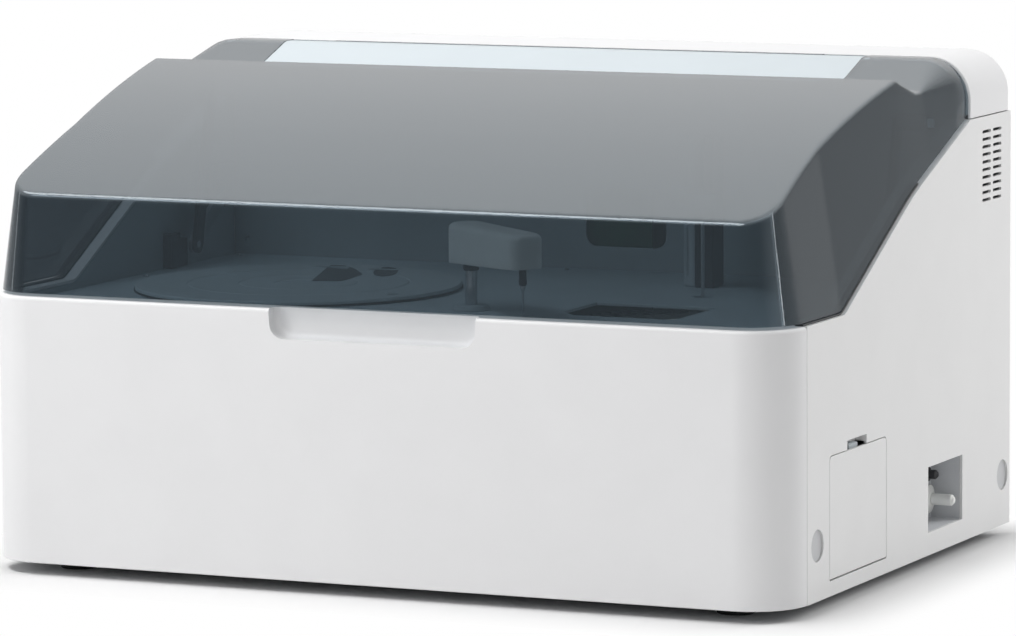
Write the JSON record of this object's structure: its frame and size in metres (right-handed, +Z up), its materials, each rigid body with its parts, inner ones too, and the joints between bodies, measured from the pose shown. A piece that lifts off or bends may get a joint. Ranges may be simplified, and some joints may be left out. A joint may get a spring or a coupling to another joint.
{
  "type": "benchtop chemistry analyzer",
  "caption": "Benchtop analyzer: white casing, hinged smoke lid over a work deck with sampling probe, covered reagent carousel and reaction disk.",
  "frame": {"origin": "on the bench, under the middle of the casing's box", "axes": "+Z up, +Y towards the rear, +X to the operator's right facing the front"},
  "size_m": [0.86, 0.614, 0.499],
  "materials": {
    "white_plastic": "fine satin moulding grain",
    "deck_plastic": "satin pale blue-grey",
    "wall_plastic": "satin grey",
    "smoke_plastic": "see-through smoke, polished",
    "pale_strip": "smooth pale insert",
    "black_plastic": "matte black",
    "rubber": "matte",
    "steel": "bright drawn steel",
    "painted_steel": "grey powder coat",
    "aluminium": "satin",
    "cover_plastic": "satin pale blue-grey",
    "board_green": "solder mask green",
    "nylon": "natural nylon"
  },
  "bodies": {
    "housing": {"back_wall": "wall_plastic", "base_chassis": "painted_steel", "body_hinge_leaf_left": "steel", "body_hinge_leaf_right": "steel", "connection_bay": "wall_plastic", "control_board": "board_green", "door_catch": "wall_plastic", "drain_outlet": "nylon", "fan_frame": "black_plastic", "foot_front_left": "rubber", "foot_front_right": "rubber", "foot_rear_left": "rubber", "foot_rear_right": "rubber", "front_cover": "white_plastic", "front_panel_cap": "white_plastic", "left_inner_wall": "wall_plastic", "left_side_panel": "white_plastic", "lid_lock": "black_plastic", "photometer": "black_plastic", "power_inlet": "black_plastic", "power_supply": "aluminium", "probe_guide": "black_plastic", "reaction_motor": "black_plastic", "reaction_tray": "aluminium", "reagent_chamber": "white_plastic", "reagent_motor": "black_plastic", "rear_panel": "white_plastic", "rear_panel_cap": "white_plastic", "right_inner_wall": "wall_plastic", "right_side_panel": "white_plastic", "roof_cover": "white_plastic", "sensor_plug": "black_plastic", "stay_damper_left": "black_plastic", "stay_damper_right": "black_plastic", "syringe_block": "painted_steel", "wash_tower": "black_plastic", "wash_well": "white_plastic", "work_deck": "deck_plastic"},
    "lid": {"lid_shell": "smoke_plastic", "lid_top_strip": "pale_strip", "lid_hinge_leaf_left": "steel", "lid_hinge_leaf_right": "steel"},
    "stay_arm_left": {"stay_arm_left": "steel"},
    "stay_arm_right": {"stay_arm_right": "steel"},
    "stay_link_left": {"stay_link_left": "steel"},
    "stay_link_right": {"stay_link_right": "steel"},
    "reagent_rotor": {"reagent_carousel": "nylon"},
    "reagent_lid": {"disk_cover": "cover_plastic"},
    "reaction_rotor": {"reaction_disk": "nylon"},
    "drive_pinion": {"reaction_pinion": "nylon"},
    "probe_mast": {"probe_column": "steel"},
    "probe_head": {"probe_arm": "white_plastic", "probe_needle": "steel"},
    "wash_carriage": {"wash_head": "aluminium"},
    "service_door": {"side_door": "white_plastic"},
    "plunger": {"syringe_plunger": "steel"},
    "drain_plug": {"drain_cap": "nylon"},
    "fan_impeller": {"fan_rotor": "black_plastic"},
    "mains_switch": {"power_rocker": "rubber"}
  },
  "joints": [
    {"name": "lid_hinge", "type": "hinge", "parent": "housing", "child": "lid", "pos_m": [0, 0.183, 0.494], "axis": [-1, 0, 0], "range_deg": [0, 65]},
    {"name": "stay_arm_left_pivot", "type": "hinge", "parent": "housing", "child": "stay_arm_left", "pos_m": [-0.3882, 0.15, 0.345], "axis": [-1, 0, 0], "range_deg": [0, 65]},
    {"name": "stay_arm_right_pivot", "type": "hinge", "parent": "housing", "child": "stay_arm_right", "pos_m": [0.3882, 0.15, 0.345], "axis": [-1, 0, 0], "range_deg": [0, 65]},
    {"name": "stay_link_left_pivot", "type": "hinge", "parent": "stay_arm_left", "child": "stay_link_left", "pos_m": [-0.3837, 0.072, 0.291], "axis": [-1, 0, 0], "range_deg": [-65, 0]},
    {"name": "stay_link_right_pivot", "type": "hinge", "parent": "stay_arm_right", "child": "stay_link_right", "pos_m": [0.3837, 0.072, 0.291], "axis": [-1, 0, 0], "range_deg": [-65, 0]},
    {"name": "reagent_turn", "type": "hinge", "parent": "housing", "child": "reagent_rotor", "pos_m": [-0.195, -0.07, 0.177], "axis": [0, 0, 1], "continuous": true},
    {"name": "reagent_lid_lift", "type": "slide", "parent": "housing", "child": "reagent_lid", "axis": [0, 0, 1], "range_m": [0, 0.02]},
    {"name": "reaction_turn", "type": "hinge", "parent": "housing", "child": "reaction_rotor", "pos_m": [0.228, -0.078, 0.249], "axis": [0, 0, 1], "continuous": true},
    {"name": "pinion_turn", "type": "hinge", "parent": "housing", "child": "drive_pinion", "pos_m": [0.33463, 0.01148, 0.249], "axis": [0, 0, 1], "continuous": true},
    {"name": "probe_lift", "type": "slide", "parent": "housing", "child": "probe_mast", "axis": [0, 0, 1], "range_m": [-0.025, 0]},
    {"name": "probe_swing", "type": "hinge", "parent": "probe_mast", "child": "probe_head", "pos_m": [0.044, -0.17, 0.307], "axis": [0, 0, 1], "range_deg": [0, 196.7]},
    {"name": "wash_lift", "type": "slide", "parent": "housing", "child": "wash_carriage", "axis": [0, 0, 1], "range_m": [-0.03, 0]},
    {"name": "door_hinge", "type": "hinge", "parent": "housing", "child": "service_door", "pos_m": [0.4265, -0.11905, 0.0313], "axis": [0, 1, 0], "range_deg": [0, 90]},
    {"name": "plunger_stroke", "type": "slide", "parent": "housing", "child": "plunger", "axis": [0, 0, 1], "range_m": [-0.025, 0]},
    {"name": "drain_plug_pull", "type": "slide", "parent": "housing", "child": "drain_plug", "axis": [1, 0, 0], "range_m": [0, 0.02]},
    {"name": "fan_turn", "type": "hinge", "parent": "housing", "child": "fan_impeller", "pos_m": [0.23, 0.29, 0.3], "axis": [0, 1, 0], "continuous": true},
    {"name": "switch_tilt", "type": "hinge", "parent": "housing", "child": "mains_switch", "pos_m": [-0.3, 0.302, 0.086], "axis": [-1, 0, 0], "range_deg": [0, 16]}
  ],
  "couplings": [
    {"joint": "stay_arm_left_pivot", "follows": "lid_hinge", "ratio": 1},
    {"joint": "stay_arm_right_pivot", "follows": "lid_hinge", "ratio": 1},
    {"joint": "stay_link_left_pivot", "follows": "lid_hinge", "ratio": -1},
    {"joint": "stay_link_right_pivot", "follows": "lid_hinge", "ratio": -1},
    {"joint": "pinion_turn", "follows": "reaction_turn", "ratio": -5}
  ]
}
